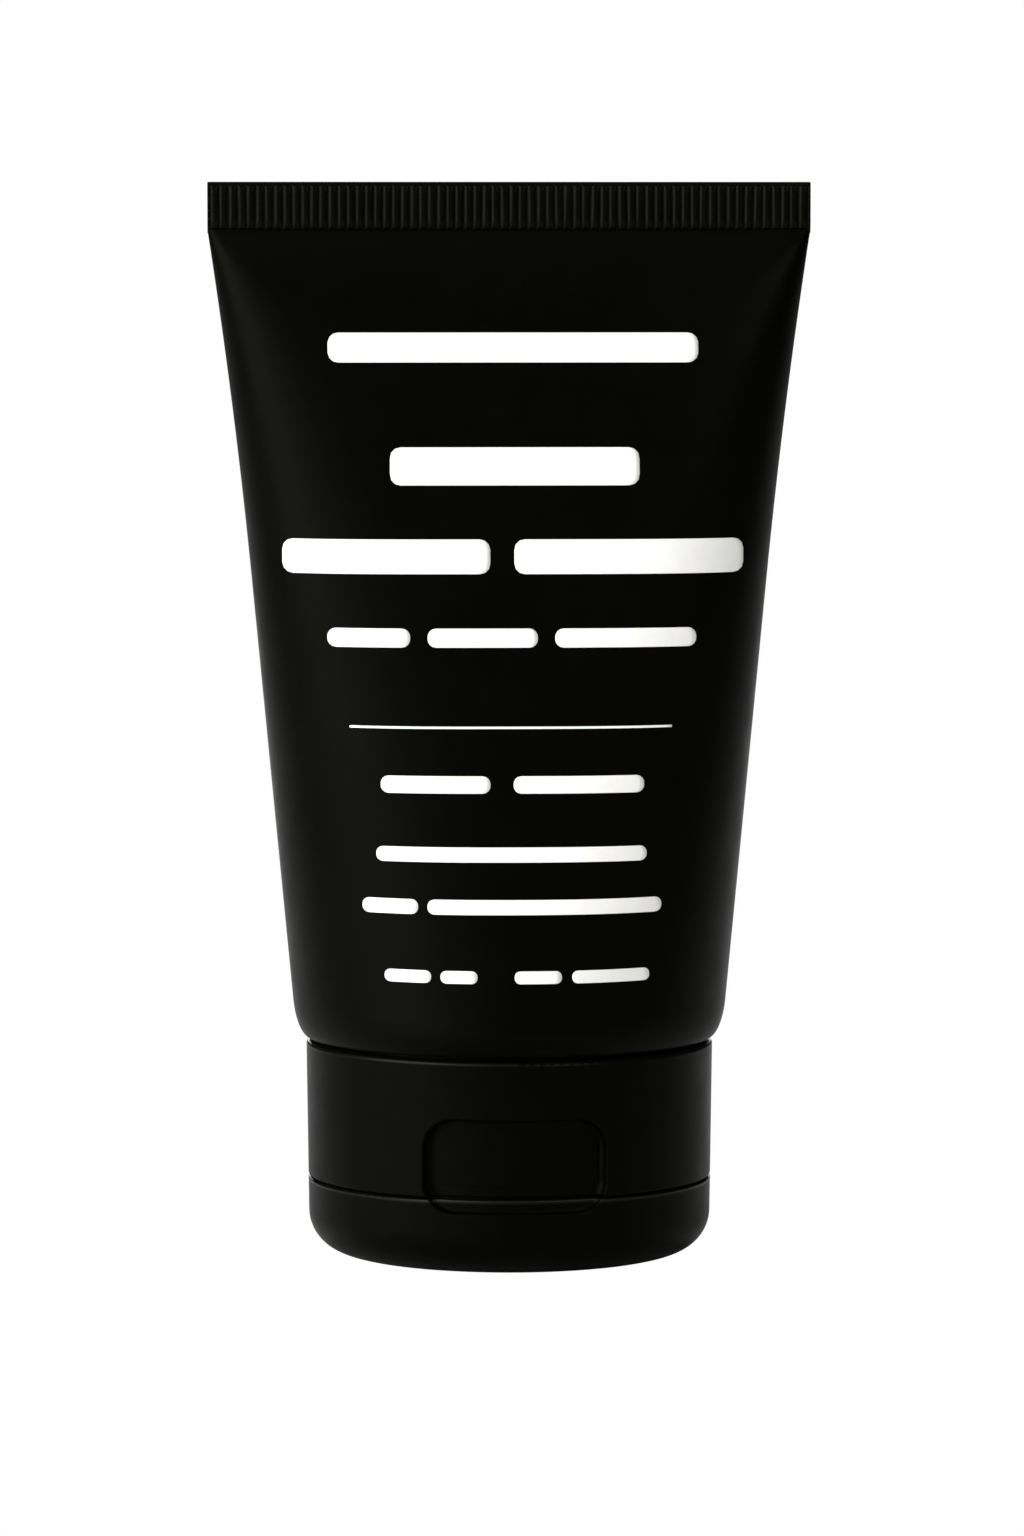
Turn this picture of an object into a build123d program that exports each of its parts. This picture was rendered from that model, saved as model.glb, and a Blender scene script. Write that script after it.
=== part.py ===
from build123d import *
import math
import os

# A plastic squeeze tube of lotion standing on its flip-top screw cap, in millimetres.
# +Z runs from the foot to the crimped tail, X along the crimp, and -Y is the front.
# The origin is the centre of the foot, on the axis of the tube.

# Heights
FOOT_Z = 0.0
LID_TOP_Z = 6.70
SEAM_GAP = 0.20
CAP_TOP_Z = 18.85
SHOULDER_GAP = 0.40
SHOULDER_Z = CAP_TOP_Z + SHOULDER_GAP
TAIL_Z = 95.00
CRIMP_HEIGHT = 4.25
CRIMP_Z = TAIL_Z - CRIMP_HEIGHT

# Sleeve
SLEEVE_RADIUS = 19.11
SLEEVE_WALL = 0.50
SLEEVE_CORNER = 1.60
CORNER_LAND = 0.10
ROUND_Z = SHOULDER_Z + SLEEVE_CORNER + CORNER_LAND
SLEEVE_SPREAD = 0.0955
FLARE_START_Z = 60.0
FLARE = 0.88
CRIMP_THICKNESS = 1.00
FLATTENING_POWER = 0.55
FLATTENING_LEAD = 1.00
WELD_HEIGHT = 0.90
CAVITY_TOP_Z = CRIMP_Z - WELD_HEIGHT
SLEEVE_MOUTH_RADIUS = 16.70
SECTION_SHARES = (0.0, 0.14, 0.30, 0.46, 0.62, 0.76, 0.87, 0.94, 0.975, 1.0)
OUTLINE_POINTS = 28
OUTLINE_SAMPLES = 90

# Contents
FILL_GAP = 0.12
FILL_TOP_Z = 73.70

# Shoulder and threaded neck
SHOULDER_THICKNESS = 1.80
SHOULDER_TOP_RADIUS = 17.80
FACE_GAP = 0.03
SPIGOT_RADIUS = 16.30
SPIGOT_DEPTH = 0.90
NECK_RADIUS = 8.00
NECK_BORE_RADIUS = 6.00
NECK_END_Z = 10.40
THREAD_PITCH = 3.00
THREAD_HEIGHT = 0.90
THREAD_ROOT_WIDTH = 1.50
THREAD_CREST_WIDTH = 0.90
THREAD_SINK = 0.25
NECK_THREAD_TURNS = 2.00
NECK_THREAD_Z = 11.60

# Sealing washer
WASHER_THICKNESS = 1.00
WASHER_RADIUS = 7.90
WASHER_BORE_RADIUS = 4.60

# Cap base
BASE_BOTTOM_Z = LID_TOP_Z + SEAM_GAP
CAP_TOP_RADIUS = 18.09
SEAM_RADIUS = 17.93
SKIRT_WALL = 1.35
DECK_Z = NECK_END_Z - WASHER_THICKNESS
DECK_THICKNESS = 1.40
DECK_UNDER_Z = DECK_Z - DECK_THICKNESS
STEP_RADIUS = 16.45
STEP_WALL = 1.30
STEP_END_Z = 5.20
SPOUT_ROOT_RADIUS = 5.00
SPOUT_TIP_RADIUS = 3.70
SPOUT_TIP_Z = 3.20
ORIFICE_RADIUS = 2.50
SOCKET_RADIUS = 9.30
SOCKET_WALL = 1.30
SOCKET_TOP_Z = 17.60
CAP_THREAD_TURNS = 1.25
RIB_COUNT = 4
RIB_THICKNESS = 0.80
RIB_HEIGHT = 4.00
CAP_EDGE_FILLET = 0.30
SEAM_FILLET = 0.15

# Cap lid
FOOT_RADIUS = 17.83
FOOT_FILLET = 3.70
LID_FLOOR = 1.60
LID_BORE_RADIUS = 16.55
PIN_RADIUS = 2.40
PIN_TOP_Z = 4.20
PIN_DOME = 0.95
SEAL_RING_RADIUS = 6.20
SEAL_RING_WALL = 0.90
SEAL_RING_TOP_Z = 4.00
GATE_RADIUS = 0.90
GATE_DEPTH = 0.15

# Thumb recess at the front
RECESS_HALF_ANGLE = 26.0
RECESS_TOP_Z = 13.78
RECESS_BOTTOM_Z = 5.58
RECESS_FLOOR_RADIUS = 16.75
RECESS_LIP_RADIUS = 17.20
RECESS_CORNER = 2.60
RECESS_MARGIN = 0.12
RECESS_REACH = 31.0
RECESS_EDGE_FILLET = 0.18
RECESS_FLOOR_FILLET = 0.80
LIP_EDGE_FILLET = 0.20
LIP_FLOOR_FILLET = 0.40
RECESS_PAD_RADIUS = 15.50
RECESS_PAD_OVERLAP = 0.50
RECESS_PAD_MARGIN = 4.0
EDGE_MARGIN = 0.01

# Living hinge at the back
HINGE_FLAT_Y = 16.30
HINGE_FLAT_TOP_Z = 12.00
HINGE_PAD_TOP_Z = 14.20
LID_BORE_FLAT_Y = HINGE_FLAT_Y - SKIRT_WALL
STEP_FLAT_GAP = 0.10
HINGE_FILM = 0.30
FILM_WIDTH = 3.20
FILM_OFFSET_X = 5.00
FILM_HALF_HEIGHT = 1.05
STRAP_WIDTH = 3.80
STRAP_THICKNESS = 0.40
STRAP_HALF_HEIGHT = 2.10
STRAP_BOW = 0.45
HINGE_Z = LID_TOP_Z + SEAM_GAP / 2

# Cutting solids reach past what they cut by OVERSHOOT, and CUT is wider than the whole tube.
OVERSHOOT = 1.0
CUT = 60.0


def half_width(z):
    """Half of the sleeve's width along X at height z."""
    flare = max(0.0, (z - FLARE_START_Z) / (CRIMP_Z - FLARE_START_Z))
    return SLEEVE_RADIUS + SLEEVE_SPREAD * (z - ROUND_Z) + FLARE * flare**2


def half_depth(z):
    """Half of the sleeve's depth along Y at height z, round at the shoulder and flat at the crimp."""
    span = CRIMP_Z + FLATTENING_LEAD - ROUND_Z
    at_crimp = (FLATTENING_LEAD / span) ** FLATTENING_POWER
    here = ((CRIMP_Z + FLATTENING_LEAD - z) / span) ** FLATTENING_POWER
    flat = CRIMP_THICKNESS / 2
    return flat + (SLEEVE_RADIUS - flat) * (here - at_crimp) / (1 - at_crimp)


def evenly_spaced(curve, count):
    """The first count of count + 1 points that divide a fine curve into equal lengths."""
    runs = [0.0]
    for start, end in zip(curve, curve[1:]):
        runs.append(runs[-1] + math.dist(start, end))
    points = []
    for step in range(count):
        wanted = runs[-1] * step / count
        at = max(i for i in range(len(curve) - 1) if runs[i] <= wanted)
        share = (wanted - runs[at]) / (runs[at + 1] - runs[at])
        points.append(tuple(p + share * (q - p) for p, q in zip(curve[at], curve[at + 1])))
    return points


def sleeve_section(z, inset):
    """The sleeve's section at height z: round ends, and a front and back that are nearly flat."""
    half_x = half_width(z) - inset
    half_y = half_depth(z) - inset
    angles = [math.pi / 2 * step / OUTLINE_SAMPLES for step in range(OUTLINE_SAMPLES + 1)]
    # The power half_y / half_x makes the ends as round as half circles of radius half_y.
    quarter = [(half_x * math.sin(a) ** (half_y / half_x), -half_y * math.cos(a)) for a in angles]
    front = evenly_spaced(quarter, OUTLINE_POINTS // 4)
    back = [(x, -y) for x, y in reversed(front[1:])]
    right = front + [quarter[-1]] + back
    left = [(-x, -y) for x, y in right]
    return Plane.XY.offset(z) * make_face(Spline(*right, *left, periodic=True))


def sleeve_form(inset, bottom_z, top_z, corner):
    """The sleeve's form from bottom_z to top_z, drawn in by inset, with a rounded lower edge."""
    heights = [ROUND_Z + share * (top_z - ROUND_Z) for share in SECTION_SHARES]
    body = loft([sleeve_section(z, inset) for z in heights])
    end = extrude(sleeve_section(ROUND_Z, inset), amount=bottom_z - ROUND_Z)
    return body + fillet(end.edges().sort_by(Axis.Z)[0], corner)


def upright(radius, low_z, high_z):
    """A cylinder on the tube's axis between two heights."""
    return Pos(0, 0, (low_z + high_z) / 2) * Cylinder(radius, high_z - low_z)


def cone(low_radius, high_radius, low_z, high_z):
    """A cone on the tube's axis between two heights."""
    return Pos(0, 0, (low_z + high_z) / 2) * Cone(low_radius, high_radius, high_z - low_z)


def thread(root_radius, start_z, turns, outward):
    """A right-hand trapezoidal thread rooted in a wall at root_radius."""
    side = 1 if outward else -1
    helix = Helix(THREAD_PITCH, THREAD_PITCH * turns, root_radius, center=(0, 0, start_z))
    root = THREAD_ROOT_WIDTH / 2
    crest = THREAD_CREST_WIDTH / 2
    inner = -side * THREAD_SINK
    outer = side * THREAD_HEIGHT
    start = helix @ 0
    frame = Plane(origin=start, x_dir=(1, 0, 0), z_dir=helix % 0)
    points = [(inner, -root), (0, -root), (outer, -crest), (outer, crest), (0, root), (inner, root)]
    section = frame * make_face(Polyline(*points, close=True))
    return sweep(section, path=helix, is_frenet=True)


def tube_sleeve():
    """The soft sleeve: round at the shoulder, crimped flat at the tail."""
    outer = sleeve_form(0, SHOULDER_Z, CRIMP_Z, SLEEVE_CORNER)
    crimp = Pos(0, 0, (CRIMP_Z + TAIL_Z) / 2) * Box(2 * half_width(CRIMP_Z), CRIMP_THICKNESS, CRIMP_HEIGHT)
    inner_floor = SHOULDER_Z + SLEEVE_WALL
    inner = sleeve_form(SLEEVE_WALL, inner_floor, CAVITY_TOP_Z, SLEEVE_CORNER - SLEEVE_WALL)
    mouth = upright(SLEEVE_MOUTH_RADIUS, SHOULDER_Z - OVERSHOOT, inner_floor + OVERSHOOT)
    return outer + crimp - inner - mouth


def tube_shoulder():
    """The moulded shoulder welded into the sleeve, with its threaded neck."""
    floor_z = SHOULDER_Z + SLEEVE_WALL
    top_z = floor_z + SHOULDER_THICKNESS
    rim_radius = SLEEVE_RADIUS - SLEEVE_WALL - FACE_GAP
    disc = upright(rim_radius, floor_z, ROUND_Z)
    disc = fillet(disc.edges().sort_by(Axis.Z)[0], SLEEVE_CORNER - SLEEVE_WALL)
    disc += cone(rim_radius, SHOULDER_TOP_RADIUS, ROUND_Z, top_z)
    boss = upright(SLEEVE_MOUTH_RADIUS - FACE_GAP, SHOULDER_Z, floor_z)
    spigot = upright(SPIGOT_RADIUS, SHOULDER_Z - SPIGOT_DEPTH, SHOULDER_Z)
    spigot -= upright(SPIGOT_RADIUS - SKIRT_WALL, SHOULDER_Z - SPIGOT_DEPTH, SHOULDER_Z)
    neck = upright(NECK_RADIUS, NECK_END_Z, floor_z)
    ridge = thread(NECK_RADIUS, NECK_THREAD_Z, NECK_THREAD_TURNS, outward=True)
    bore = upright(NECK_BORE_RADIUS, NECK_END_Z - OVERSHOOT, top_z + OVERSHOOT)
    return disc + boss + spigot + neck + ridge - bore


def lotion_fill():
    """The lotion, which fills the neck and the sleeve up to an air space under the crimp."""
    inset = SLEEVE_WALL + FILL_GAP
    above = Pos(0, 0, FILL_TOP_Z + CUT / 2) * Box(2 * CUT, 2 * CUT, CUT)
    shoulder_top = SHOULDER_Z + SLEEVE_WALL + SHOULDER_THICKNESS + FILL_GAP
    below = upright(CUT, 0, shoulder_top)
    floor_z = SHOULDER_Z + inset
    body = sleeve_form(inset, floor_z, CAVITY_TOP_Z, SLEEVE_CORNER - inset) - above - below
    return body + upright(NECK_BORE_RADIUS - FILL_GAP, NECK_END_Z, shoulder_top)


def seal_washer():
    """The washer that the neck presses on the cap's deck."""
    washer = upright(WASHER_RADIUS, DECK_Z, NECK_END_Z)
    return washer - upright(WASHER_BORE_RADIUS, DECK_Z, NECK_END_Z)


def recess_blank(floor_radius):
    """The thumb recess as a curved pad that is cut from the front of the cap."""
    half = math.radians(RECESS_HALF_ANGLE)
    width = 2 * CAP_TOP_RADIUS * math.sin(half)
    height = RECESS_TOP_Z - RECESS_BOTTOM_Z
    middle_z = (RECESS_TOP_Z + RECESS_BOTTOM_Z) / 2
    window = Pos(0, 0, middle_z) * (Rot(90, 0, 0) * RectangleRounded(width, height, RECESS_CORNER))
    prism = extrude(window, amount=CUT / 2, dir=(0, -1, 0))
    return prism - upright(floor_radius, FOOT_Z, CAP_TOP_Z)


def recess_edges(body, low_radius, high_radius, low_z, high_z):
    """The recess's edges whose middles are between two radii and two heights."""
    found = []
    for edge in body.edges():
        middle = edge.center()
        radius = math.hypot(middle.X, middle.Y)
        at_front = middle.Y < 0 and abs(middle.X) < STEP_RADIUS * math.sin(math.radians(RECESS_REACH))
        if at_front and low_radius < radius < high_radius and low_z < middle.Z < high_z:
            found.append(edge)
    return found


def recessed_wall(wall, floor_radius, edge_fillet, floor_fillet, low_z, high_z):
    """Cuts the recess from a wall, and rounds its outline and the corner at its floor."""
    wall -= recess_blank(floor_radius)
    outline = recess_edges(wall, FOOT_RADIUS - RECESS_MARGIN, CAP_TOP_RADIUS, low_z, high_z)
    wall = fillet(outline, edge_fillet)
    return fillet(recess_edges(wall, 0, floor_radius + RECESS_MARGIN, low_z, high_z), floor_fillet)


def recess_pad():
    """The wall behind the recess, which keeps its thickness there."""
    low, high = DECK_UNDER_Z, RECESS_TOP_Z + SKIRT_WALL
    ring = upright(STEP_RADIUS + RECESS_PAD_OVERLAP, low, high) - upright(RECESS_PAD_RADIUS, low, high)
    width = 2 * CAP_TOP_RADIUS * math.sin(math.radians(RECESS_HALF_ANGLE + RECESS_PAD_MARGIN))
    return ring & (Pos(0, -CUT / 2, (low + high) / 2) * Box(width, CUT, high - low))


def hinge_cut():
    """What the flat behind the hinge takes off, with a slope above it."""
    low_z = FOOT_Z - OVERSHOOT
    slope = CAP_TOP_RADIUS - HINGE_FLAT_Y + OVERSHOOT
    profile = Polyline(
        (HINGE_FLAT_Y, low_z),
        (HINGE_FLAT_Y, HINGE_FLAT_TOP_Z),
        (HINGE_FLAT_Y + slope, HINGE_FLAT_TOP_Z + slope),
        (HINGE_FLAT_Y + slope, low_z),
        close=True,
    )
    return extrude(Plane.YZ * make_face(profile), amount=CUT / 2, both=True)


def flat_back(body, flat_y, top_z=CAP_TOP_Z):
    """Takes off what lies behind flat_y and under top_z."""
    return body - Pos(0, flat_y + CUT / 2, top_z - CUT / 2) * Box(CUT, CUT, CUT)


def cap_ribs():
    """Ribs that join the cap's socket to its skirt."""
    inner = SOCKET_RADIUS + SOCKET_WALL / 2
    outer = SEAM_RADIUS - SKIRT_WALL / 2
    blank = Pos((inner + outer) / 2, 0, DECK_Z + RIB_HEIGHT / 2) * Box(
        outer - inner, RIB_THICKNESS, RIB_HEIGHT
    )
    step = 360 / RIB_COUNT
    # Half a step off the axes, the ribs miss the recess and the hinge.
    return [Rot(0, 0, (turn + 0.5) * step) * blank for turn in range(RIB_COUNT)]


def cap_base():
    """The cap's screwed base: skirt, deck with spout, and the threaded socket."""
    skirt = cone(SEAM_RADIUS, CAP_TOP_RADIUS, BASE_BOTTOM_Z, CAP_TOP_Z)
    low_z = BASE_BOTTOM_Z + EDGE_MARGIN
    skirt = recessed_wall(
        skirt, RECESS_FLOOR_RADIUS, RECESS_EDGE_FILLET, RECESS_FLOOR_FILLET, low_z, CAP_TOP_Z
    )
    skirt = fillet(skirt.edges().sort_by(Axis.Z)[-1], CAP_EDGE_FILLET)
    skirt = fillet(skirt.edges().group_by(Axis.Z)[0], SEAM_FILLET)
    bore = upright(CAP_TOP_RADIUS - SKIRT_WALL, DECK_Z, CAP_TOP_Z)
    skirt -= flat_back(bore, LID_BORE_FLAT_Y, HINGE_PAD_TOP_Z)
    step_flat_y = LID_BORE_FLAT_Y - STEP_FLAT_GAP
    step = flat_back(upright(STEP_RADIUS, STEP_END_Z, BASE_BOTTOM_Z), step_flat_y)
    hollow = flat_back(upright(STEP_RADIUS - STEP_WALL, STEP_END_Z, DECK_UNDER_Z), step_flat_y - STEP_WALL)
    spout = cone(SPOUT_TIP_RADIUS, SPOUT_ROOT_RADIUS, SPOUT_TIP_Z, DECK_UNDER_Z)
    socket = upright(SOCKET_RADIUS + SOCKET_WALL, DECK_Z, SOCKET_TOP_Z)
    socket_bore = upright(SOCKET_RADIUS, DECK_Z, SOCKET_TOP_Z)
    # The cap's thread sits half a pitch from the neck's, so that both share their clearance.
    start_z = NECK_THREAD_Z + THREAD_PITCH / 2
    ridge = thread(SOCKET_RADIUS, start_z, CAP_THREAD_TURNS, outward=False)
    orifice = upright(ORIFICE_RADIUS, SPOUT_TIP_Z, DECK_Z)
    body = skirt + step - hollow + spout + recess_pad() + socket + cap_ribs()
    body = body - socket_bore + ridge - orifice
    return body - hinge_cut()


def cap_lid():
    """The flip lid that the tube stands on."""
    shell = cone(FOOT_RADIUS, SEAM_RADIUS, FOOT_Z, LID_TOP_Z)
    high_z = LID_TOP_Z - EDGE_MARGIN
    shell = recessed_wall(
        shell, RECESS_LIP_RADIUS, LIP_EDGE_FILLET, LIP_FLOOR_FILLET, FOOT_Z, high_z
    )
    shell = fillet(shell.edges().group_by(Axis.Z)[-1], SEAM_FILLET)
    shell = fillet(shell.edges().group_by(Axis.Z)[0], FOOT_FILLET)
    hollow = upright(LID_BORE_RADIUS, LID_FLOOR, LID_TOP_Z + OVERSHOOT)
    hollow = fillet(hollow.edges().sort_by(Axis.Z)[0], FOOT_FILLET - LID_FLOOR)
    hollow = flat_back(hollow, LID_BORE_FLAT_Y)
    pin = upright(PIN_RADIUS, LID_FLOOR, PIN_TOP_Z)
    pin = fillet(pin.edges().sort_by(Axis.Z)[-1], PIN_DOME)
    ring = upright(SEAL_RING_RADIUS, LID_FLOOR, SEAL_RING_TOP_Z)
    ring -= upright(SEAL_RING_RADIUS - SEAL_RING_WALL, LID_FLOOR, SEAL_RING_TOP_Z)
    gate = upright(GATE_RADIUS, FOOT_Z, FOOT_Z + GATE_DEPTH)
    body = shell - hollow + pin + ring - gate
    return body - hinge_cut()


def hinge_film(side):
    """One of the two thin films that the lid turns on."""
    film = Box(FILM_WIDTH, HINGE_FILM, 2 * FILM_HALF_HEIGHT)
    return Pos(side * FILM_OFFSET_X, HINGE_FLAT_Y + HINGE_FILM / 2, HINGE_Z) * film


def snap_strap():
    """The bowed strap between the films, which makes the lid snap open and shut."""
    low = (HINGE_FLAT_Y, HINGE_Z - STRAP_HALF_HEIGHT)
    high = (HINGE_FLAT_Y, HINGE_Z + STRAP_HALF_HEIGHT)
    inner = ThreePointArc(low, (HINGE_FLAT_Y + STRAP_BOW, HINGE_Z), high)
    outer_low = (HINGE_FLAT_Y, low[1] - STRAP_THICKNESS)
    outer_high = (HINGE_FLAT_Y, high[1] + STRAP_THICKNESS)
    outer = ThreePointArc(outer_low, (HINGE_FLAT_Y + STRAP_BOW + STRAP_THICKNESS, HINGE_Z), outer_high)
    profile = make_face([inner, Line(high, outer_high), outer, Line(outer_low, low)])
    return extrude(Plane.YZ * profile, amount=STRAP_WIDTH / 2, both=True)


PARTS = {
    "tube_sleeve": tube_sleeve,
    "tube_shoulder": tube_shoulder,
    "lotion_fill": lotion_fill,
    "seal_washer": seal_washer,
    "cap_base": cap_base,
    "cap_lid": cap_lid,
    "hinge_film_left": lambda: hinge_film(-1),
    "hinge_film_right": lambda: hinge_film(1),
    "snap_strap": snap_strap,
}

os.makedirs("parts", exist_ok=True)
for name, make in PARTS.items():
    part = make()
    export_step(part, f"parts/{name}.step")
    print(name, round(part.volume), "mm3")
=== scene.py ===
import math

import bpy
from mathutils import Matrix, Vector, noise


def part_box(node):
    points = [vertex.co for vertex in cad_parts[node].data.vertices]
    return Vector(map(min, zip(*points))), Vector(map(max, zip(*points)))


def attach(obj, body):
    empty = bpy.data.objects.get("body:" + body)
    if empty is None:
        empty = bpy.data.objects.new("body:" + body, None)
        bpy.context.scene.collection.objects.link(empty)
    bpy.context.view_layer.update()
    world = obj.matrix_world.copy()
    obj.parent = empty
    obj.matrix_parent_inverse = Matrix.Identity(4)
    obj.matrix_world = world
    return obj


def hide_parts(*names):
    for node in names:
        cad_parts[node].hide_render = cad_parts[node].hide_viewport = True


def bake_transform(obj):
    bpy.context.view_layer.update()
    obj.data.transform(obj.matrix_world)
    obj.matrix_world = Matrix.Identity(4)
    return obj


# The looks of a matte black squeeze tube that stands on its flip-top cap.
# Sizes are in millimetres, as in the CAD, and MM turns them into the scene's metres.

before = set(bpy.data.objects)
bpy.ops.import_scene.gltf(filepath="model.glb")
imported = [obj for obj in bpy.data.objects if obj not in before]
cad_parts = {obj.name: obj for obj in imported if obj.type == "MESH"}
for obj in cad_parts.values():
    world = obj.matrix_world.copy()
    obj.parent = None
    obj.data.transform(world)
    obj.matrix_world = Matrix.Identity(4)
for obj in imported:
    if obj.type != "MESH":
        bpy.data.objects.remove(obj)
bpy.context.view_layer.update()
MM = 0.001

# Sleeve, the same form as its CAD node
SHOULDER_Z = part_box("tube_sleeve")[0].z / MM
TAIL_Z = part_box("tube_sleeve")[1].z / MM
CORNER_HEIGHT = 3.20
CORNER_INSET = 1.06
INNER_CORNER = 1.10
WALL = 0.50
ROUND_Z = SHOULDER_Z + 1.70
MOUTH_RADIUS = 16.70
SLEEVE_RADIUS = 19.11
SPREAD = 0.0955
FLARE_START_Z = 60.0
FLARE = 0.88
CRIMP_HEIGHT = 4.25
CRIMP_Z = TAIL_Z - CRIMP_HEIGHT
WELD_HEIGHT = 0.9
CAVITY_TOP_Z = CRIMP_Z - WELD_HEIGHT
CRIMP_HALF_THICKNESS = 0.50
FLATTENING_POWER = 0.55
FLATTENING_LEAD = 1.00
THINNEST_HALF_DEPTH = 0.08
OUTLINE_SAMPLES = 240
NORMAL_STEP = 0.2

# How many rings of points the sleeve has inside, round its corners and outside
COLUMNS = 360
INNER_RINGS = 24
INNER_EASE = 1.6
INNER_CORNER_STEPS = 4
CORNER_RINGS = 16
OUTER_RINGS = 84
OUTER_EASE = 1.5

# Ribs pressed into the crimp
RIB_PITCH = 0.80
RIB_TOP_SHARE = 0.52
RIB_RELIEF = 0.17
RIB_SAMPLES = 8
RIB_STEEPNESS = 1.6
RIB_NOISE_STEP = 3.7
RIB_NOISE_ROW = 0.5
RIB_UNEVENNESS = 0.35
RIB_UNEVEN_PER_MM = 0.25
RIB_LEAN = 0.10
RIB_LOW_Z = CRIMP_Z + 0.06
RIB_HIGH_Z = TAIL_Z - 0.26
RIB_FADE = 0.16
RIB_RUN_IN = 0.9
LIP_SHARE = 0.62
LIP_RISE = 0.04
CRIMP_SINK = 0.25
CRIMP_FOOT = 0.05
CRIMP_END_ROUND = 0.10
CRIMP_END_SHARE = 0.7
CRIMP_TRIM = 0.07

# The small step below the crimp
LEDGE_HEIGHT = 0.24
LEDGE_DEPTH = 0.16
LEDGE_STEPS = 6
LEDGE_REACH = 1.2
LEDGE_SLOPE = 0.12
LEDGE_END_POWER = 6

# How uneven the soft sleeve's surface is, and how far from its ends that fades
WAVE_SIZE = 17.0
WAVE_DEPTH = 0.07
WAVE_STRETCH = 0.6
WAVE_FADE_LOW = 12
WAVE_FADE_HIGH = 10

# The bars of ink
PRINT_LIFT = 0.018
PRINT_SINK = 0.030
PRINT_STEP = 0.45
PRINT_ROWS = 9
PRINT_LEAST_COLUMNS = 4
PRINT_CORNER_SHARE = 0.45
PRINT_CORNER_MOST = 0.9

# Steepest turn in degrees between two faces that still look like one surface
NODE_SMOOTH = 28
CRIMP_SMOOTH = 50
HINGE_SMOOTH = 45


# ---------------------------------------------------------------- form of the sleeve


def half_width(z):
    """Half of the sleeve's width at height z."""
    flare = max(0.0, (z - FLARE_START_Z) / (CRIMP_Z - FLARE_START_Z))
    return SLEEVE_RADIUS + SPREAD * (z - ROUND_Z) + FLARE * flare**2


def half_depth(z):
    """Half of the sleeve's depth at height z."""
    span = CRIMP_Z + FLATTENING_LEAD - ROUND_Z
    at_crimp = (FLATTENING_LEAD / span) ** FLATTENING_POWER
    here = (max(0.0, CRIMP_Z + FLATTENING_LEAD - z) / span) ** FLATTENING_POWER
    flat = CRIMP_HALF_THICKNESS
    return flat + (SLEEVE_RADIUS - flat) * (here - at_crimp) / (1 - at_crimp)


def wave(x, y, z):
    """The slow unevenness of a filled soft sleeve, nothing at its shoulder and crimp."""
    low = min(1.0, max(0.0, (z - ROUND_Z) / WAVE_FADE_LOW))
    high = min(1.0, max(0.0, (CRIMP_Z - z) / WAVE_FADE_HIGH))
    return WAVE_DEPTH * (low * high) * noise.noise(Vector((x, y, z * WAVE_STRETCH)) / WAVE_SIZE)


def outline_depth(x, a, b):
    """The section's depth over x: round ends, and a front and back that are nearly flat."""
    return b * math.sqrt(max(0.0, 1 - min(1.0, abs(x) / a) ** (2 * a / b)))


def quarter_outline(a, b):
    """A quarter of the section, from the middle of its front to its right end, evenly spaced."""
    angles = [math.pi / 2 * i / OUTLINE_SAMPLES for i in range(OUTLINE_SAMPLES + 1)]
    curve = [(a * math.sin(t) ** (b / a), b * math.cos(t)) for t in angles]
    runs = [0.0]
    for start, end in zip(curve, curve[1:]):
        runs.append(runs[-1] + math.dist(start, end))
    points, at = [], 0
    for i in range(COLUMNS // 4):
        wanted = runs[-1] * i / (COLUMNS // 4)
        while runs[at + 1] < wanted:
            at += 1
        share = (wanted - runs[at]) / (runs[at + 1] - runs[at])
        points.append([p + share * (q - p) for p, q in zip(curve[at], curve[at + 1])])
    return points + [(a, 0.0)]


def section_ring(z, inset=0.0):
    """The sleeve's section at height z, from the middle of the front round by the right."""
    depth = max(half_depth(z) - inset, THINNEST_HALF_DEPTH)
    quarter = quarter_outline(half_width(z) - inset, depth)
    right = [(x, -y) for x, y in quarter] + [(x, y) for x, y in reversed(quarter[:-1])]
    outline = right + [(-x, y) for x, y in reversed(right[1:-1])]
    return [Vector((x, y if inset else waved(x, y, z), z)) for x, y in outline]


def waved(x, y, z):
    """The depth y of a point of the sleeve's outside, with its unevenness."""
    return y * (1 + wave(x, y, z) / SLEEVE_RADIUS)


def front_point(x, z):
    """The point of the sleeve's front over x and z."""
    y = -outline_depth(x, half_width(z), half_depth(z))
    return Vector((x, waved(x, y, z), z))


def front_normal(x, z):
    """The sleeve's outward normal there."""
    across = front_point(x + NORMAL_STEP, z) - front_point(x - NORMAL_STEP, z)
    up = front_point(x, z + NORMAL_STEP) - front_point(x, z - NORMAL_STEP)
    return across.cross(up).normalized()


# ---------------------------------------------------------------- meshes


def make_object(name, verts, faces, smooth=True):
    """A mesh object from points in millimetres."""
    mesh = bpy.data.meshes.new(name)
    mesh.from_pydata([v * MM for v in verts], [], faces)
    mesh.validate()
    mesh.polygons.foreach_set("use_smooth", [smooth] * len(mesh.polygons))
    made = bpy.data.objects.new(name, mesh)
    bpy.context.scene.collection.objects.link(made)
    return made


def ring_faces(rows, columns):
    """Quads between rings of points that go round."""
    faces = []
    for r in range(rows - 1):
        low = r * columns
        high = low + columns
        for c in range(columns):
            d = (c + 1) % columns
            faces.append((low + c, low + d, high + d, high + c))
    return faces


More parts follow.
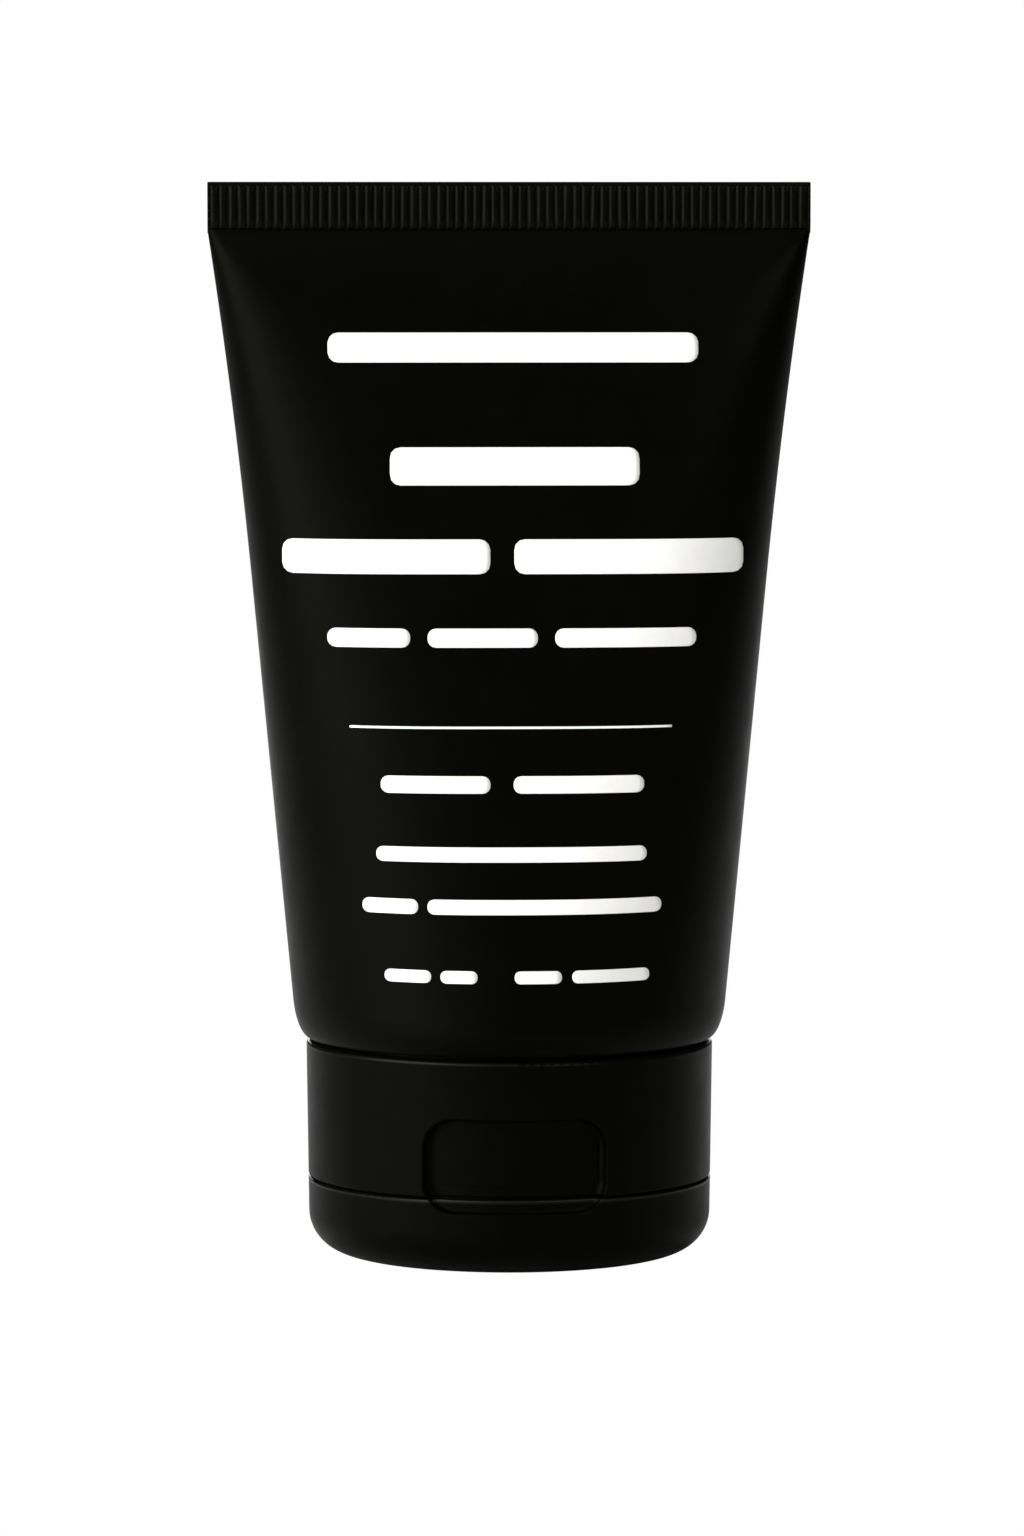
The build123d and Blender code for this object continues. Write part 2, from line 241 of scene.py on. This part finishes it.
def slab_faces(rows, columns, first=0):
    """Faces of a thin closed slab: a grid of points, the same grid under it, and the rim between them."""
    layer = rows * columns
    faces = []
    for r in range(rows - 1):
        for c in range(columns - 1):
            a = first + r * columns + c
            b = a + layer
            faces.append((a, a + 1, a + columns + 1, a + columns))
            faces.append((b, b + columns, b + columns + 1, b + 1))
    rim = [first + c for c in range(columns)]
    rim += [first + r * columns + columns - 1 for r in range(1, rows)]
    rim += [first + (rows - 1) * columns + c for c in range(columns - 2, -1, -1)]
    rim += [first + r * columns for r in range(rows - 2, 0, -1)]
    for a, b in zip(rim, rim[1:] + rim[:1]):
        faces.append((b, a, a + layer, b + layer))
    return faces


def flat_end(ring, columns, up):
    """Quads that close a flattened ring between its front and its back."""
    faces = []
    quarter = columns // 4
    for c in range(quarter * 2):
        a = ring + (quarter - c) % columns
        b = ring + (quarter - c - 1) % columns
        d = ring + (quarter + c) % columns
        e = ring + (quarter + c + 1) % columns
        face = [a, d, e, b] if up else [a, b, e, d]
        unique = list(dict.fromkeys(face))
        if len(unique) > 2:
            faces.append(tuple(unique))
    return faces


def shade_by_angle(made, degrees):
    """Smooth shading that keeps real corners sharp."""
    with bpy.context.temp_override(object=made, selected_objects=[made], active_object=made):
        bpy.ops.object.shade_smooth_by_angle(angle=math.radians(degrees))


def round_ring(radius, z):
    """A round ring of points about the tube's axis."""
    turns = [math.tau * (c / COLUMNS) for c in range(COLUMNS)]
    return [Vector((radius * math.sin(t), -radius * math.cos(t), z)) for t in turns]


def spaced(low, high, count, ease):
    """count values from low to high, closer together near high when ease is over 1."""
    return [high - (high - low) * (1 - i / (count - 1)) ** ease for i in range(count)]


def build_sleeve():
    """The sleeve as a closed shell, from inside its flattened top, round its mouth and up its outside."""
    inside = spaced(ROUND_Z, CAVITY_TOP_Z, INNER_RINGS, INNER_EASE)
    rings = [section_ring(z, WALL) for z in reversed(inside)]
    floor_z = SHOULDER_Z + WALL
    for i in range(1, INNER_CORNER_STEPS + 1):
        angle = math.radians(90 * i / INNER_CORNER_STEPS)
        radius = SLEEVE_RADIUS - WALL - INNER_CORNER * (1 - math.cos(angle))
        rings.append(round_ring(radius, floor_z + INNER_CORNER * (1 - math.sin(angle))))
    rings.append(round_ring(MOUTH_RADIUS, floor_z))
    rings.append(round_ring(MOUTH_RADIUS, SHOULDER_Z))
    rings += shoulder_rings()
    ledge_low = CRIMP_Z - LEDGE_HEIGHT
    outside = spaced(SHOULDER_Z + CORNER_HEIGHT, ledge_low, OUTER_RINGS, OUTER_EASE)
    rings += [section_ring(z) for z in outside[1:]]
    rings += ledge_rings(ledge_low)
    verts = [p for ring in rings for p in ring]
    faces = ring_faces(len(rings), COLUMNS)
    faces += flat_end(0, COLUMNS, up=False)
    faces += flat_end((len(rings) - 1) * COLUMNS, COLUMNS, up=True)
    return make_object("sleeve", verts, faces)


def shoulder_rings():
    """The rounded lower corner of the sleeve's outside, taller than it is deep."""
    rings = []
    for i in range(CORNER_RINGS):
        angle = math.radians(90 * i / (CORNER_RINGS - 1))
        z = SHOULDER_Z + CORNER_HEIGHT * (1 - math.cos(angle))
        inset = CORNER_INSET * (1 - math.sin(angle))
        if z < ROUND_Z:
            rings.append(round_ring(half_width(z) - inset, z))
        else:
            shrink = 1 - inset / SLEEVE_RADIUS
            rings.append([Vector((p.x * shrink, p.y * shrink, z)) for p in section_ring(z)])
    return rings


def ledge_rings(low):
    """The small step where the flattened sleeve goes into the crimp."""
    rings = []
    start = section_ring(low)
    for i in range(1, LEDGE_STEPS + 1):
        share = i / LEDGE_STEPS
        z = low + LEDGE_HEIGHT * LEDGE_REACH * share
        drop = 2 * LEDGE_DEPTH * (1 - math.sqrt(1 - share**2)) + LEDGE_SLOPE * share
        ring = []
        for p in start:
            middle = 1 - abs(p.x / half_width(low)) ** LEDGE_END_POWER
            y = math.copysign(max(abs(p.y) - drop * middle, 0.0), p.y)
            ring.append(Vector((p.x, y, z)))
        rings.append(ring)
    return rings


def rib_height(x, z):
    """How far the crimp's face stands out at x, from 0 in a groove to about 1 on a rib."""
    rib = math.floor(x / RIB_PITCH)
    uneven = noise.noise(Vector((rib * RIB_NOISE_STEP, RIB_NOISE_ROW, z * RIB_UNEVEN_PER_MM)))
    away = abs(x / RIB_PITCH - rib - 0.5 + RIB_LEAN * uneven) * 2
    slope = (away - RIB_TOP_SHARE) / (1 - RIB_TOP_SHARE)
    slope = min(1.0, max(0.0, slope * RIB_STEEPNESS))
    return (1 - slope * slope * (3 - 2 * slope)) * (1 - RIB_UNEVENNESS * abs(uneven))


def crimp_profile(x, z):
    """Half of the crimp's thickness at x and z."""
    low = min(1.0, max(0.0, (z - RIB_LOW_Z) / RIB_FADE))
    high = min(1.0, max(0.0, (RIB_HIGH_Z - z) / RIB_FADE))
    in_ribs = low * high
    base = CRIMP_HALF_THICKNESS - RIB_RELIEF
    lip = LIP_SHARE if z > RIB_HIGH_Z else 0.0
    return base + RIB_RELIEF * max(rib_height(x, z) * in_ribs, lip * (1 - high))


def crimp_heights():
    """The heights at which the crimp's shape changes."""
    heights = [CRIMP_Z - CRIMP_SINK, CRIMP_Z + CRIMP_FOOT, RIB_LOW_Z]
    heights += [RIB_LOW_Z + RIB_FADE * s for s in (0.33, 0.66, 1.0)]
    heights += [RIB_LOW_Z + RIB_RUN_IN, (RIB_LOW_Z + RIB_HIGH_Z) / 2, RIB_HIGH_Z - RIB_RUN_IN]
    heights += [RIB_HIGH_Z - RIB_FADE * s for s in (1.0, 0.66, 0.33, 0.0)]
    return heights + [RIB_HIGH_Z + LIP_RISE, TAIL_Z - CRIMP_TRIM, TAIL_Z]


def crimp_ring(xs, width, z):
    """The crimp's outline at height z, a little smaller at the very top."""
    trim = CRIMP_TRIM if z == TAIL_Z else 0.0
    end = width - trim
    front = [Vector((x, -crimp_profile(x, z) + trim, z)) for x in xs]
    back = [Vector((x, crimp_profile(x, z) - trim, z)) for x in reversed(xs)]
    half = (crimp_profile(xs[-1], z) - trim) * CRIMP_END_SHARE
    right = [Vector((end, -half, z)), Vector((end, half, z))]
    half = (crimp_profile(xs[0], z) - trim) * CRIMP_END_SHARE
    left = [Vector((-end, half, z)), Vector((-end, -half, z))]
    return front + right + back + left


def build_crimp():
    """The crimped tail: a flat seal with upright ribs on both faces."""
    width = half_width(CRIMP_Z)
    count = int(2 * width / RIB_PITCH * RIB_SAMPLES)
    span = 2 * width - 2 * CRIMP_END_ROUND
    xs = [-width + CRIMP_END_ROUND + span * i / count for i in range(count + 1)]
    rings = [crimp_ring(xs, width, z) for z in crimp_heights()]
    columns = len(rings[0])
    verts = [p for ring in rings for p in ring]
    faces = ring_faces(len(rings), columns)
    faces += crimp_end(0, len(xs), up=False)
    faces += crimp_end((len(rings) - 1) * columns, len(xs), up=True)
    made = make_object("tail_crimp", verts, faces)
    shade_by_angle(made, CRIMP_SMOOTH)
    return made


def crimp_end(ring, count, up):
    """Quads across the top or bottom of the crimp."""
    faces = []
    across = [(ring + i, ring + 2 * count + 1 - i) for i in range(count)]
    left = (ring + 2 * count + 3, ring + 2 * count + 2)
    right = (ring + count, ring + count + 1)
    across = [left] + across + [right]
    for (a, b), (c, d) in zip(across, across[1:]):
        faces.append((a, c, d, b) if up else (a, b, d, c))
    return faces


# ---------------------------------------------------------------- print


def bar_points(x0, x1, middle_z, height, columns):
    """The points of a rounded bar of ink that follows the sleeve's front: its face, then its underside."""
    corner = min(PRINT_CORNER_SHARE * height, PRINT_CORNER_MOST)
    points = []
    for lift in (PRINT_LIFT, -PRINT_SINK):
        for r in range(PRINT_ROWS):
            up = math.sin(math.pi * (r / (PRINT_ROWS - 1) - 0.5)) * height / 2
            beyond = max(0.0, abs(up) - (height / 2 - corner))
            trim = corner - math.sqrt(max(0.0, corner**2 - beyond**2))
            z = middle_z + up
            for c in range(columns):
                x = x0 + trim + (x1 - x0 - 2 * trim) * c / (columns - 1)
                points.append(front_point(x, z) + front_normal(x, z) * lift)
    return points


# Each printed line: its name, its middle height, the height of its bars, and the ends of its bars.
PRINT_LINES = (
    ("print_title", 80.5, 2.6, ((-16.1, 16.4),)),
    ("print_name_1", 70.2, 3.3, ((-10.7, 11.1),)),
    ("print_name_2", 62.4, 3.0, ((-20.1, -2.0), (0.1, 20.3))),
    ("print_use", 55.4, 1.65, ((-16.2, -9.0), (-7.5, 2.1), (3.6, 16.0))),
    ("print_rule", 47.7, 0.20, ((-14.3, 13.8),)),
    ("print_note_1", 42.8, 1.50, ((-11.6, -2.1), (-0.1, 11.3))),
    ("print_note_2", 36.8, 1.30, ((-12.0, 11.5),)),
    ("print_note_3", 32.3, 1.30, ((-13.2, -8.4), (-7.6, 12.8))),
    ("print_volume", 26.3, 1.10, ((-11.3, -7.3), (-6.5, -3.3), (-0.1, 4.0), (4.9, 11.7))),
)


def build_print():
    """The print as plain bars in place of lettering."""
    made = []
    for name, middle_z, height, bars in PRINT_LINES:
        verts, faces = [], []
        for x0, x1 in bars:
            columns = max(PRINT_LEAST_COLUMNS, int((x1 - x0) / PRINT_STEP))
            faces += slab_faces(PRINT_ROWS, columns, len(verts))
            verts += bar_points(x0, x1, middle_z, height, columns)
        made.append(make_object(name, verts, faces))
    return made


# ---------------------------------------------------------------- living hinge

HINGE_FLAT_Y = 16.30
HINGE_Z = 6.80
HINGE_CUSHION = 0.02
STRAP_ROWS = 28
STRAP_COLUMNS = 10
STRAP_MIDDLE_SHARE = 0.55
STRAP_EDGE_SOFTNESS = 0.35
STRAP_EDGE_POWER = 6

# Each strap: its name, its CAD node, the x of its middle, its width, its width at the hinge line,
# half of its height, its thickness, and how far it is bowed out.
STRAPS = (
    ("film_left", "hinge_film_left", -5.0, 3.2, 2.8, 1.05, 0.30, 0.0),
    ("film_right", "hinge_film_right", 5.0, 3.2, 2.8, 1.05, 0.30, 0.0),
    ("strap_bowed", "snap_strap", 0.0, 3.8, 2.8, 2.5, 0.40, 0.45),
)


def strap_points(x_middle, width, waist, half_height, thickness, bow):
    """The points of a strap over the hinge line, bowed and narrowed in its middle: inside, then outside."""
    points = []
    for side in (0, 1):
        for r in range(STRAP_ROWS):
            share = 2 * r / (STRAP_ROWS - 1) - 1
            thin = thickness * (STRAP_MIDDLE_SHARE + (1 - STRAP_MIDDLE_SHARE) * share**2)
            y = HINGE_FLAT_Y - HINGE_CUSHION + bow * (1 - share**2) + side * (thin + HINGE_CUSHION)
            half = (waist + (width - waist) * share**2) / 2
            for c in range(STRAP_COLUMNS):
                across = 2 * c / (STRAP_COLUMNS - 1) - 1
                soft = side * thin * STRAP_EDGE_SOFTNESS * abs(across) ** STRAP_EDGE_POWER
                points.append(Vector((x_middle + half * across, y - soft, HINGE_Z + half_height * share)))
    return points


def build_hinge():
    """The two films and the snap strap of the hinge, between the cap's base and its lid."""
    for name, node, x_middle, width, waist, half_height, thickness, bow in STRAPS:
        points = strap_points(x_middle, width, waist, half_height, thickness, bow)
        made = make_object(name, points, slab_faces(STRAP_ROWS, STRAP_COLUMNS))
        shade_by_angle(made, HINGE_SMOOTH)
        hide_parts(node)
        made.data.materials.append(MATERIALS["hinge"])
        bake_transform(made)


# ---------------------------------------------------------------- materials

BLACK = (0.0005, 0.0005, 0.0004)
SOFT_BLACK = (0.0009, 0.0009, 0.0007)
CAP_TOP_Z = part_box("cap_base")[1].z / MM
LID_TOP_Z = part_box("cap_lid")[1].z / MM
# The rims of the cap and lid get a painted sheen: a band this tall below their tops, with this higher
# specular level, which puts a bright highlight line on the rim's edge.
RIM_SHEEN_BAND = 0.35
RIM_SHINE = 0.26
PLASTIC_SHINE = 0.025
# The crimp's higher specular level is a painted sheen: it lightens the crimp's ribs, which the lights alone
# leave too dark.
CRIMP_SHINE = 0.05
PLASTIC_TINT = (1.0, 1.0, 0.82, 1.0)
MOTTLE_PER_MM = 0.12
MOTTLE_LOW = 0.35
MOTTLE_HIGH = 0.68
HAZE_PER_MM = 0.35
GRAIN_DEPTH = 0.02
NOISE_LOW = 0.3
NOISE_HIGH = 0.7


class Nodes:
    """A few words for building a node material."""

    def __init__(self, name):
        self.material = bpy.data.materials.new(name)
        self.material.use_nodes = True
        self.tree = self.material.node_tree
        self.shader = self.tree.nodes["Principled BSDF"]
        self.coords = self.add("ShaderNodeTexCoord").outputs["Object"]

    def add(self, kind):
        return self.tree.nodes.new(kind)

    def link(self, a, b):
        self.tree.links.new(a, b)

    def noise(self, per_mm, detail=3.0, rough=0.55):
        """Noise with about per_mm features in a millimetre."""
        node = self.add("ShaderNodeTexNoise")
        node.inputs["Scale"].default_value = per_mm / MM
        node.inputs["Detail"].default_value = detail
        node.inputs["Roughness"].default_value = rough
        self.link(self.coords, node.inputs["Vector"])
        return node.outputs["Fac"]

    def height(self):
        """The height above the piece's origin, in metres."""
        node = self.add("ShaderNodeSeparateXYZ")
        self.link(self.coords, node.inputs["Vector"])
        return node.outputs["Z"]

    def ramp(self, value, low_colour, high_colour, low=NOISE_LOW, high=NOISE_HIGH):
        """Colours between two values."""
        node = self.add("ShaderNodeValToRGB")
        node.color_ramp.elements[0].position = low
        node.color_ramp.elements[1].position = high
        node.color_ramp.elements[0].color = (*low_colour, 1)
        node.color_ramp.elements[1].color = (*high_colour, 1)
        self.link(value, node.inputs["Fac"])
        return node.outputs["Color"]

    def spread(self, value, to_low, to_high, low=NOISE_LOW, high=NOISE_HIGH):
        """A value mapped from one range to another."""
        node = self.add("ShaderNodeMapRange")
        node.inputs["From Min"].default_value = low
        node.inputs["From Max"].default_value = high
        node.inputs["To Min"].default_value = to_low
        node.inputs["To Max"].default_value = to_high
        self.link(value, node.inputs["Value"])
        return node.outputs["Result"]

    def bump(self, height, strength, distance_mm):
        """A normal that follows the height."""
        node = self.add("ShaderNodeBump")
        node.inputs["Strength"].default_value = strength
        node.inputs["Distance"].default_value = distance_mm * MM
        self.link(height, node.inputs["Height"])
        return node.outputs["Normal"]


def black_plastic(name, rough, grain_per_mm, grain, shine=PLASTIC_SHINE, rim_z=None):
    """Matte black plastic: slightly mottled, with a fine grain, and with a painted sheen at its rim: a
    specular level that rises towards the rim's top, so the rim's edge shows a bright highlight line.
    """
    n = Nodes(name)
    mottle = n.noise(MOTTLE_PER_MM, 4.0)
    colour = n.ramp(mottle, BLACK, SOFT_BLACK, MOTTLE_LOW, MOTTLE_HIGH)
    n.link(colour, n.shader.inputs["Base Color"])
    haze = n.noise(HAZE_PER_MM, 5.0, 0.6)
    n.link(n.spread(haze, *rough), n.shader.inputs["Roughness"])
    fine = n.noise(grain_per_mm, 2.0, 0.5)
    n.link(n.bump(fine, grain, GRAIN_DEPTH), n.shader.inputs["Normal"])
    n.shader.inputs["Specular Tint"].default_value = PLASTIC_TINT
    n.shader.inputs["Specular IOR Level"].default_value = shine
    # Painted sheen: the specular level rises over the last few tenths of a millimetre below the rim's top,
    # which puts a bright highlight line on the rim's edge.
    if rim_z:
        rim_sheen = n.spread(n.height(), shine, RIM_SHINE, (rim_z - RIM_SHEEN_BAND) * MM, rim_z * MM)
        n.link(rim_sheen, n.shader.inputs["Specular IOR Level"])
    return n.material


def ink():
    """Off-white silk-screened ink, a little uneven in cover."""
    n = Nodes("off_white_ink")
    cover = n.noise(0.5, 4.0, 0.6)
    colour = n.ramp(cover, (0.86, 0.855, 0.825), (0.90, 0.895, 0.865))
    n.link(colour, n.shader.inputs["Base Color"])
    n.link(n.spread(cover, 0.5, 0.62), n.shader.inputs["Roughness"])
    n.link(n.bump(n.noise(9.0, 2.0), 0.25, 0.01), n.shader.inputs["Normal"])
    return n.material


def lotion():
    """Thick white lotion."""
    n = Nodes("white_lotion")
    swirl = n.noise(0.25)
    colour = n.ramp(swirl, (0.78, 0.76, 0.70), (0.86, 0.85, 0.80))
    n.link(colour, n.shader.inputs["Base Color"])
    n.link(n.spread(swirl, 0.22, 0.32), n.shader.inputs["Roughness"])
    return n.material


def washer_foam():
    """Pale elastomer of the sealing washer."""
    n = Nodes("pale_elastomer")
    speck = n.noise(4.0)
    colour = n.ramp(speck, (0.50, 0.50, 0.48), (0.60, 0.60, 0.57))
    n.link(colour, n.shader.inputs["Base Color"])
    n.link(n.spread(speck, 0.7, 0.85), n.shader.inputs["Roughness"])
    n.link(n.bump(speck, 0.3, 0.03), n.shader.inputs["Normal"])
    return n.material


MATERIALS = {
    "sleeve": black_plastic("sleeve_black", (0.40, 0.46), 7.0, 0.30),
    # The crimp's black is the sleeve's plastic with a painted sheen: a higher specular level that lightens
    # its ribs.
    "crimp": black_plastic("crimp_black", (0.36, 0.42), 7.0, 0.20, shine=CRIMP_SHINE),
    "shoulder": black_plastic("shoulder_black", (0.36, 0.46), 5.0, 0.20),
    "cap": black_plastic("cap_black", (0.38, 0.44), 6.0, 0.45, rim_z=CAP_TOP_Z),
    "lid": black_plastic("lid_black", (0.38, 0.44), 6.0, 0.45, rim_z=LID_TOP_Z),
    "hinge": black_plastic("hinge_black", (0.30, 0.42), 5.0, 0.15),
    "print": ink(),
    "lotion": lotion(),
    "washer": washer_foam(),
}

NODE_MATERIALS = {
    "tube_sleeve": "sleeve",
    "tube_shoulder": "shoulder",
    "lotion_fill": "lotion",
    "seal_washer": "washer",
    "cap_base": "cap",
    "cap_lid": "lid",
    "hinge_film_left": "hinge",
    "hinge_film_right": "hinge",
    "snap_strap": "hinge",
}


def paint_nodes():
    """The CAD nodes keep their shapes and get their finish."""
    for node, slot in NODE_MATERIALS.items():
        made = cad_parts[node]
        made.data.materials.clear()
        made.data.materials.append(MATERIALS[slot])
        shade_by_angle(made, NODE_SMOOTH)


# ---------------------------------------------------------------- studio

CAMERA_TURN = -1.8
CAMERA_AWAY = 600.0
CAMERA_RIGHT = 0.24
CAMERA_Z = 90.8
CAMERA_AIM_Z = 43.06
CAMERA_LENS = 158.6
CAMERA_SENSOR = 36.0
CAMERA_NEAREST = 0.05
CAMERA_FURTHEST = 20.0
ROOM_STRENGTH = 0.004
PAPER_STRENGTH = 1.0
FLOOR_HALF = 3.0
LIGHTS_MIDDLE = Vector((0, 0, 0.05))


def area_light(name, place, size, power):
    """A soft box at place that faces the object, in metres and watts."""
    data = bpy.data.lights.new(name, "AREA")
    data.shape = "RECTANGLE"
    data.size, data.size_y = size
    data.energy = power
    made = bpy.data.objects.new(name, data)
    made.location = place
    made.rotation_mode = "QUATERNION"
    made.rotation_quaternion = (LIGHTS_MIDDLE - place).to_track_quat("-Z", "Y")
    bpy.context.scene.collection.objects.link(made)


def build_world():
    """White behind the object, and a dim room for what it reflects."""
    world = bpy.data.worlds.new("studio")
    bpy.context.scene.world = world
    world.use_nodes = True
    tree = world.node_tree
    room = tree.nodes["Background"]
    room.inputs["Color"].default_value = (1, 1, 1, 1)
    room.inputs["Strength"].default_value = ROOM_STRENGTH
    paper = tree.nodes.new("ShaderNodeBackground")
    paper.inputs["Color"].default_value = (1, 1, 1, 1)
    paper.inputs["Strength"].default_value = PAPER_STRENGTH
    rays = tree.nodes.new("ShaderNodeLightPath")
    mix = tree.nodes.new("ShaderNodeMixShader")
    tree.links.new(rays.outputs["Is Camera Ray"], mix.inputs[0])
    tree.links.new(room.outputs[0], mix.inputs[1])
    tree.links.new(paper.outputs[0], mix.inputs[2])
    tree.links.new(mix.outputs[0], tree.nodes["World Output"].inputs[0])


def build_floor():
    """A plain pale floor that bounces light, but neither hides nor shades the open lid below it."""
    signs = ((-1, -1), (1, -1), (1, 1), (-1, 1))
    corners = [Vector((x, y, 0)) * FLOOR_HALF / MM for x, y in signs]
    floor = make_object("floor", corners, [(0, 1, 2, 3)], smooth=False)
    n = Nodes("pale_floor")
    tone = n.noise(0.004)
    colour = n.ramp(tone, (0.78, 0.78, 0.77), (0.82, 0.82, 0.81))
    n.link(colour, n.shader.inputs["Base Color"])
    n.shader.inputs["Roughness"].default_value = 0.8
    floor.data.materials.append(n.material)
    floor.visible_camera = False
    floor.visible_shadow = False


# Each soft box: how far round to the right of the front it stands and how high, in degrees,
# its distance, its width and height in metres, and its power in watts.
LIGHTS = (
    ("key", -62, 13, 0.80, (0.66, 0.90), 10.0),
    ("key_front", -24, 14, 0.85, (0.30, 0.80), 1.2),
    ("key_high", -78, 52, 0.90, (0.35, 0.35), 0.9),
    ("front_fill", 38, 36, 0.90, (0.40, 0.40), 2.2),
    ("overhead", -60, 82, 1.00, (1.00, 1.00), 3.0),
    ("back_key", 180, 24, 0.85, (0.40, 0.60), 9.0),
)


def build_lights():
    """Soft boxes: the strongest at the left, and others in front, above and behind."""
    for name, round_degrees, high_degrees, away, size, power in LIGHTS:
        turn = math.radians(round_degrees)
        high = math.radians(high_degrees)
        flat = away * math.cos(high)
        out = Vector((flat * math.sin(turn), -flat * math.cos(turn), away * math.sin(high)))
        area_light(name, LIGHTS_MIDDLE + out, size, power)


def build_camera():
    """The camera stands level with the crimp, a little left of the middle, and looks slightly down."""
    data = bpy.data.cameras.new("camera")
    data.sensor_fit = "AUTO"
    data.sensor_width = CAMERA_SENSOR
    data.lens = CAMERA_LENS
    data.clip_start = CAMERA_NEAREST
    data.clip_end = CAMERA_FURTHEST
    camera = bpy.data.objects.new("camera", data)
    turn = math.radians(CAMERA_TURN)
    right = Vector((math.cos(turn), math.sin(turn), 0)) * CAMERA_RIGHT
    back = Vector((math.sin(turn), -math.cos(turn), 0)) * CAMERA_AWAY
    camera.location = (back + right + Vector((0, 0, CAMERA_Z))) * MM
    target = (right + Vector((0, 0, CAMERA_AIM_Z))) * MM
    camera.rotation_mode = "QUATERNION"
    camera.rotation_quaternion = (target - camera.location).to_track_quat("-Z", "Y")
    bpy.context.scene.collection.objects.link(camera)
    bpy.context.scene.camera = camera


# ---------------------------------------------------------------- assembly

bpy.context.scene.view_settings.view_transform = "Standard"

paint_nodes()

sleeve = build_sleeve()
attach(sleeve, "tube")
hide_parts("tube_sleeve")
crimp = build_crimp()
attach(crimp, "tube")
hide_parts("tube_sleeve")
for piece, look in ((sleeve, "sleeve"), (crimp, "crimp")):
    piece.data.materials.append(MATERIALS[look])

for line in build_print():
    line.data.materials.append(MATERIALS["print"])
    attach(line, "tube")

build_hinge()
build_world()
build_floor()
build_lights()
build_camera()

bpy.context.view_layer.update()
